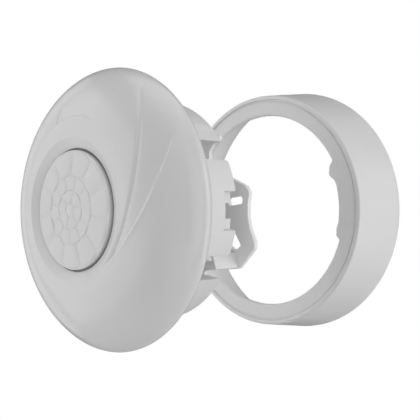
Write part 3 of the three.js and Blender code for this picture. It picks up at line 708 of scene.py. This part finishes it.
def rear_housing():
    chamber = SKIRT_RADIUS - SKIRT_WALL
    side_inner = SIDE_RADIUS - SIDE_WALL
    outer = waisted(SKIRT_RADIUS, SIDE_RADIUS)
    inner = waisted(chamber, side_inner, SKIRT_WALL)
    walls = slab("walls", [outer, inner], HOUSING_FRONT_Y + 1, SKIRT_END_Y, 0.5, False, True, 4)
    floor_outline = waisted(chamber + 0.5, side_inner + 0.5, SKIRT_WALL - 0.5)
    floor = slab("floor", [floor_outline], FLOOR_Y, FLOOR_Y + FLOOR_WALL, 0, False, False)
    rim = arc(COVER_LIP - 0.3, 0, 359, 1)
    flange = slab("flange", [rim, inner], HOUSING_FRONT_Y, COVER_BACK_Y, 0.2, True, True)
    tongues = tongue(TONGUE_TURN) + tongue(180 + TONGUE_TURN)
    posts = []
    for angle in (90, 210, 330):
        x, z = on_circle(27, angle)
        posts.append(rod("post", 2.6, -27.7, FLOOR_Y + 0.5, x, z))
    cutters = []
    for x in DIAL_XS.values():
        cutters.append(rod("dial_hole", 3.5, FLOOR_Y - 1, FLOOR_Y + FLOOR_WALL + 1, x, DIAL_Z))
    for angle in SCREW_ANGLES:
        x, z = on_circle(SCREW_CIRCLE, angle)
        cutters.append(rod("screw_hole", 1.6, HOUSING_FRONT_Y - 1, COVER_BACK_Y + 1, x, z))
    x0, x1, z0, z1 = TERMINAL_BOX
    opening = rectangle(x0 - 0.3, x1 + 0.3, z0 - 0.3, z1 + 0.3)
    cutters.append(slab("terminal_hole", [opening], FLOOR_Y - 1, FLOOR_Y + FLOOR_WALL + 1, 0, False, False))
    return merged("housing", [walls, floor, flange, *tongues, *posts], cutters)


finish_piece(rear_housing(), "head", "white_plastic", housing_plastic, "rear_housing")

# ---------------------------------------------------------------- mounting plate
PLATE_WALL = 2
STOP_HEIGHT = 13
PLATE_HALF_OUTLINE = [
    (9, 34), (20.5, 30.8), (21.4, 28.7), (17.2, 27), (15.2, 24.4), (14.9, 18.3),
    (28.8, 12.4), (35.3, 9.6), (37.3, 7.2), (36.6, 3), (36.5, -3), (37.9, -8.2),
    (40, -12.4), (40, -15.2), (31.8, -23.4), (23.5, -24.3), (13, -25.2), (10.5, -29.5),
]
PLATE_HALF_ROUNDING = [1.5, 1.2, 1, 1.5, 2, 1.5, 6, 2.5, 2.2, 9, 9, 9, 2, 2, 1.5, 4, 1.5, 1.5]
STOP_WALL = [(28.5, -17.3), (29.6, -16.9), (31.7, -22.9), (30.6, -23.3)]
SLOT_WIDTH = 3.2
SLOT_TURN = 7
SLOT_REACH = 3.8
SLOT_ROUNDING = 1.2


def mounting_plate():
    outline = fillet(PLATE_HALF_OUTLINE + half_turned(PLATE_HALF_OUTLINE), PLATE_HALF_ROUNDING * 2, 8)
    window = fillet(rectangle(-8.5, 18.7, -21.2, -9.3), 1.2)
    triangle = fillet([(28.3, -7.4), (32.8, -14.2), (29.6, -16.3), (23.8, -12.6)], 0.7)
    holes = [window, half_turned(window), triangle, half_turned(triangle)]
    for angle in (7, 187):
        x, z = on_circle(30, angle)
        along = math.cos(math.radians(SLOT_TURN))
        aside = math.sin(math.radians(SLOT_TURN))
        corners = rectangle(-SLOT_REACH, SLOT_REACH, -SLOT_WIDTH / 2, SLOT_WIDTH / 2)
        placed = [(x + u * along - v * aside, z + u * aside + v * along) for u, v in corners]
        holes.append(fillet(placed, SLOT_ROUNDING))
    plate = slab("plate_body", [outline, *holes], -PLATE_WALL, 0, 0.3)
    foot = fillet(STOP_WALL, 0.25, 3)
    walls = []
    for outline in (foot, half_turned(foot)):
        walls.append(slab("stop", [outline], -PLATE_WALL - STOP_HEIGHT, -PLATE_WALL + 0.5, 0.25, True, False))
    return merged("plate", [plate, *walls])


finish_piece(mounting_plate(), "base", "white_plastic", brightened_plate_plastic, "mounting_plate")

# ---------------------------------------------------------------- mounting ring
RING_BACK_Y = 76.7
RING_FRONT_Y = 49.5
RING_BACK_RADIUS = 58.35
RING_FRONT_RADIUS = 54.6
RING_WALL = 2.2
RING_HOLE_RADIUS = 45.2
RING_STEP_RADIUS = 52.6
RING_FLANGE_Y = 50.5
RING_FLANGE_WALL = 2.4
RING_REBATE_Y = 73
RING_TAB_RADIUS = 43
RING_GROOVE_WIDTH = 0.8  # a narrow groove along the foot of the step
RING_GROOVE_DEPTH = 0.2


def ring_hole(angle):
    """Inner radius of the flange at each angle: round, with a low bumped tab at each side."""
    local = np.mod(np.degrees(angle) + 90, 180) - 90
    big = 2.1 * np.exp(-(((local - 22.5) / 3.6) ** 2))
    small = 0.5 * np.exp(-(((local + 11) / 2.4) ** 2))
    tab = RING_TAB_RADIUS - big - small
    share = smooth((local + 17.2) / 2.6) * smooth((29.4 - local) / 2.6)
    return RING_HOLE_RADIUS + (tab - RING_HOLE_RADIUS) * share


def ring_shape(radius, y, angle):
    inner_edge = radius < RING_HOLE_RADIUS + 0.6
    moved = ring_hole(angle) + (radius - RING_HOLE_RADIUS)
    return np.where(inner_edge, moved, radius), y


def mounting_ring():
    flange_back = RING_FLANGE_Y + RING_FLANGE_WALL
    corners = [
        (RING_HOLE_RADIUS, RING_FLANGE_Y, 1.4),
        (RING_STEP_RADIUS - RING_GROOVE_WIDTH, RING_FLANGE_Y, 0.15),
        (RING_STEP_RADIUS - RING_GROOVE_WIDTH + 0.1, RING_FLANGE_Y + RING_GROOVE_DEPTH, 0.15),
        (RING_STEP_RADIUS, RING_FLANGE_Y + RING_GROOVE_DEPTH, 0.15),
        (RING_STEP_RADIUS + 0.3, RING_FRONT_Y, 0.3),
        (RING_FRONT_RADIUS, RING_FRONT_Y, 1.6),
        (RING_BACK_RADIUS, RING_BACK_Y - 1.2, 2),
        (RING_BACK_RADIUS, RING_BACK_Y, 0.45),
        (RING_BACK_RADIUS - 0.95, RING_BACK_Y, 0.3),
        (RING_BACK_RADIUS - RING_WALL, RING_REBATE_Y, 0.6),
        (RING_FRONT_RADIUS - RING_WALL, flange_back, 0.5),
        (RING_HOLE_RADIUS, flange_back, 0.35),
    ]
    profile = fillet([c[:2] for c in corners], [c[2] for c in corners], 6)
    return turned("ring", dense(profile, 2.4), FINE, ring_shape)


finish_piece(mounting_ring(), "ring", "white_plastic", ring_plastic, "mounting_ring")

# ---------------------------------------------------------------- screws, dials and terminals
TERMINAL_END_Y = -12
TERMINAL_FRONT_Y = -27.7
TERMINAL_XS = [-3.5, 2.5, 8.5, 14.5]
WIRE_ROW_Z = -17.65
SCREW_ROW_Z = -12.75
DIAL_FRONT_Y = -23.1
DIAL_END_Y = -18.6
DIAL_RADIUS = 3


def moved(obj, x=0, y=0, z=0):
    for v in obj.data.vertices:
        v.co += Vector((x, y, z)) * MM
    return obj


def pan_screw(name, head_radius, head_height, shank_radius, shank_length):
    """A pan head screw that faces +Y, its head standing at y = 0, with a crossed recess."""
    sides = [(0, -shank_length), (shank_radius * 0.6, -shank_length)]
    sides += [(shank_radius, shank_radius - shank_length), (shank_radius, 0)]
    sides += [(head_radius, 0), (head_radius, head_height * 0.5)]
    turns = np.linspace(0.25, 1.4, 7)
    dome = [(head_radius * math.cos(t), head_height * (0.5 + 0.5 * math.sin(t))) for t in turns]
    blank = turned(name, sides + dome + [(0, head_height)], SMALL)
    arm, half_width = head_radius * 0.58, head_radius * 0.13
    cross = []
    for reach_x, reach_z in ((arm, half_width), (half_width, arm)):
        outline = rectangle(-reach_x, reach_x, -reach_z, reach_z)
        cross.append(slab("recess", [outline], head_height * 0.4, head_height + 1, 0, False, False))
    return merged(name, [blank], cross)


def dial(name):
    """A small knob with a pointer-shaped screwdriver slot."""
    edge = [(DIAL_RADIUS, DIAL_FRONT_Y), (DIAL_RADIUS, DIAL_END_Y - 0.4)]
    edge += [(DIAL_RADIUS - 0.12, DIAL_END_Y - 0.12)]
    profile = [(0, DIAL_FRONT_Y)] + edge + [(DIAL_RADIUS - 0.4, DIAL_END_Y), (0, DIAL_END_Y)]
    arrow = [(-0.45, -2.3), (0.45, -2.3), (0.45, 1), (1.1, 1), (0, 2.4), (-1.1, 1), (-0.45, 1)]
    slot = slab("slot", [arrow], DIAL_END_Y - 1.2, DIAL_END_Y + 1, 0, False, False)
    return merged(name, [turned(name, profile, SMALL)], [slot])


def terminal_block():
    x0, x1, z0, z1 = TERMINAL_BOX
    outline = fillet(rectangle(x0, x1, z0, z1), 0.5)
    body = slab("terminal_body", [outline], TERMINAL_FRONT_Y, TERMINAL_END_Y, 0.35)
    wells = []
    for x in TERMINAL_XS:
        wells.append(rod("wire_hole", 1.95, TERMINAL_END_Y - 9, TERMINAL_END_Y + 1, x, WIRE_ROW_Z))
        wells.append(rod("screw_well", 2.1, TERMINAL_END_Y - 5, TERMINAL_END_Y + 1, x, SCREW_ROW_Z))
    return merged("terminals", [body], wells)


def terminal_screw(name):
    head_y = TERMINAL_END_Y - 0.8
    head = rod(name, 1.75, TERMINAL_END_Y - 4.6, head_y, 0, 0, SMALL, 0.2)
    slot = slab("slot", [rectangle(-2, 2, -0.3, 0.3)], head_y - 0.8, head_y + 1, 0, False, False)
    return merged(name, [head], [slot])


def terminal_sleeve(name):
    end = TERMINAL_END_Y - 2
    corners = [(1.2, end - 6), (1.6, end - 6), (1.6, end), (1.2, end)]
    return turned(name, fillet(corners, [0, 0, 0.12, 0.12], 3), SMALL)


for number, angle in enumerate(SCREW_ANGLES, 1):
    screw_x, screw_z = on_circle(SCREW_CIRCLE, angle)
    screw = moved(pan_screw(f"cover_screw_{number}", 2.4, 1.6, 1.25, 9), screw_x, COVER_BACK_Y + 0.3, screw_z)
    finish_piece(screw, "head", "steel", steel, f"housing_screw_{number}")
for name, x in DIAL_XS.items():
    knob = moved(dial(f"{name}_setting"), x, 0, DIAL_Z)
    finish_piece(knob, f"{name}_knob", "dial_plastic", dial_plastic, f"{name}_dial")
finish_piece(terminal_block(), "head", "grey_plastic", grey_plastic, "terminal_block")
for number, x in enumerate(TERMINAL_XS, 1):
    clamp = moved(terminal_screw(f"clamp_screw_{number}"), x, 0, SCREW_ROW_Z)
    finish_piece(clamp, "head", "steel", nickel, f"terminal_screw_{number}")
    sleeve = moved(terminal_sleeve(f"wire_sleeve_{number}"), x, 0, WIRE_ROW_Z)
    finish_piece(sleeve, "head", "brass", brass, f"terminal_sleeve_{number}")

# ---------------------------------------------------------------- materials on the CAD pieces that stay
KEPT_MATERIALS = {
    "lens_retainer": grey_plastic,
    "pir_filter": filter_window,
    "light_sensor": clear_plastic,
    "status_led": red_plastic,
    "fuse": clear_plastic,
    "film_capacitor": yellow_plastic,
}
KEPT_MATERIALS |= {n: blue_plastic for n in ("relay", "varistor")}
KEPT_MATERIALS |= {n: black_plastic for n in ("controller_chip", "board_connector", "smoothing_capacitor")}
KEPT_MATERIALS |= {n: board for n in ("sensor_board", "power_board")}
KEPT_MATERIALS |= {f"{n}_trimmer": blue_plastic for n in DIAL_XS}
KEPT_MATERIALS |= {f"board_spacer_{i}": black_plastic for i in (1, 2, 3)}
KEPT_MATERIALS |= {f"board_screw_{i}": steel for i in (1, 2, 3)}
KEPT_MATERIALS |= {"pir_detector": steel}
for node_name, finish in KEPT_MATERIALS.items():
    slots = nodes[node_name].material_slots
    if not slots:
        nodes[node_name].data.materials.append(finish)
    for material_slot in slots:
        material_slot.material = finish

# ---------------------------------------------------------------- camera, floor and light
VIEW_AZIMUTH = math.radians(44.44)
VIEW_DISTANCE = 0.3231
TARGET = Vector((0, 0.014, 0))
toward_camera = Vector((math.sin(VIEW_AZIMUTH), -math.cos(VIEW_AZIMUTH), 0))
camera = bpy.data.objects.new("camera", bpy.data.cameras.new("camera"))
camera.data.lens = 62.19
camera.data.sensor_width = 36
camera.data.clip_start = 0.01
camera.location = TARGET + toward_camera * VIEW_DISTANCE
camera.rotation_euler = (-toward_camera).to_track_quat("-Z", "Y").to_euler()
scene.collection.objects.link(camera)
scene.camera = camera
scene.view_settings.view_transform = "Standard"

FLOOR_Z = -165
floor_disc = rod("floor", 200, FLOOR_Z - 4, FLOOR_Z, 0, 0, 128, 1.0)
for vertex in floor_disc.data.vertices:
    x, y, z = vertex.co
    vertex.co = (x, z, y)
floor_disc.data.materials.append(moulded("floor_paint", (0.8, 0.8, 0.8), 0.6, 0.02, 0.01))


def light(name, azimuth, elevation, power, width=0.5, height=0.5, shift=0.0, distance=1.0):
    """A rectangular soft box. Azimuth is measured from the camera's own, towards the camera's right.
    shift slides the box sideways along its own face, the same way round."""
    turn = VIEW_AZIMUTH + math.radians(azimuth)
    rise = math.radians(elevation)
    direction = Vector((math.sin(turn) * math.cos(rise), -math.cos(turn) * math.cos(rise), math.sin(rise)))
    sideways = Vector((math.cos(turn), math.sin(turn), 0))
    lamp = bpy.data.lights.new(name, "AREA")
    lamp.shape = "RECTANGLE"
    lamp.size = width
    lamp.size_y = height
    lamp.energy = power
    holder = bpy.data.objects.new(name, lamp)
    holder.location = TARGET + direction * distance + sideways * shift
    holder.rotation_euler = (-direction).to_track_quat("-Z", "Y").to_euler()
    scene.collection.objects.link(holder)
    return holder


# Azimuth from the camera's own, elevation, power in watts, width, height and sideways shift in metres
SOFT_BOXES = [
    (-108, 0, 13.3, 1.8, 1.86, 0.7),
    (-135, 0, 1.7, 0.4, 1.6, 0),
    (140, -35, 0.3, 0.6, 0.6, 0),
    (80, 0, 5.2, 0.6, 1.2, 0),
    (25, 0, 2.1, 0.5, 1.2, 0),
    (-10, 0, 0.8, 0.5, 1.0, 0),
    (100, 45, 0.7, 0.7, 0.6, 0),
    (0, 45, 1.0, 0.7, 0.6, 0),
    (100, -40, 1.2, 0.7, 0.6, 0),
    (0, -40, 1.4, 0.7, 0.6, 0),
    (0, 85, 3.6, 0.9, 0.9, 0),
]
for number, (azimuth, elevation, power, width, height, shift) in enumerate(SOFT_BOXES):
    light(f"soft_box_{number}", azimuth, elevation, power, width, height, shift)

AMBIENT = 0.0
world = bpy.data.worlds.new("studio")
world.use_nodes = True
scene.world = world
tree = world.node_tree
backdrop = tree.nodes["Background"]
backdrop.inputs["Color"].default_value = (1, 1, 1, 1)
fill = tree.nodes.new("ShaderNodeBackground")
fill.inputs["Color"].default_value = (1, 1, 1, 1)
fill.inputs["Strength"].default_value = AMBIENT
seen = tree.nodes.new("ShaderNodeLightPath")
either = tree.nodes.new("ShaderNodeMixShader")
tree.links.new(seen.outputs["Is Camera Ray"], either.inputs["Fac"])
tree.links.new(fill.outputs["Background"], either.inputs[1])
tree.links.new(backdrop.outputs["Background"], either.inputs[2])
tree.links.new(either.outputs["Shader"], tree.nodes["World Output"].inputs["Surface"])
